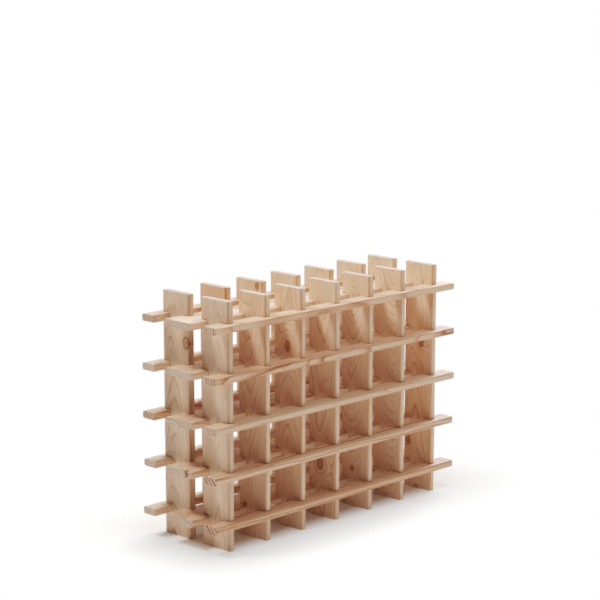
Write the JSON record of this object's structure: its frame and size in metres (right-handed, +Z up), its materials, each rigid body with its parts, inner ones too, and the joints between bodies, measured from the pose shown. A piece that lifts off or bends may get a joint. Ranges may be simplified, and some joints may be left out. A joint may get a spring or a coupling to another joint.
{
  "type": "wine rack",
  "caption": "Open grid wine rack of raw pine uprights and flat rails, slotted together without fastenings, that holds bottles lying on their sides.",
  "frame": {"origin": "on the floor, in the middle of the footprint", "axes": "+X along the rails to the right, +Y from the front to the back, +Z up; bottles go in along Y"},
  "size_m": [0.672, 0.207, 0.478],
  "materials": {
    "raw_pine": "planed softwood, left raw"
  },
  "bodies": {
    "root": {"front_upright_1": "raw_pine", "front_upright_2": "raw_pine", "front_upright_3": "raw_pine", "front_upright_4": "raw_pine", "front_upright_5": "raw_pine", "front_upright_6": "raw_pine", "front_upright_7": "raw_pine", "back_upright_1": "raw_pine", "back_upright_2": "raw_pine", "back_upright_3": "raw_pine", "back_upright_4": "raw_pine", "back_upright_5": "raw_pine", "back_upright_6": "raw_pine", "back_upright_7": "raw_pine", "front_rail_1": "raw_pine", "front_rail_2": "raw_pine", "front_rail_3": "raw_pine", "front_rail_4": "raw_pine", "front_rail_5": "raw_pine", "middle_rail_1": "raw_pine", "middle_rail_2": "raw_pine", "middle_rail_3": "raw_pine", "middle_rail_4": "raw_pine", "middle_rail_5": "raw_pine", "back_rail_1": "raw_pine", "back_rail_2": "raw_pine", "back_rail_3": "raw_pine", "back_rail_4": "raw_pine", "back_rail_5": "raw_pine"}
  },
  "joints": []
}
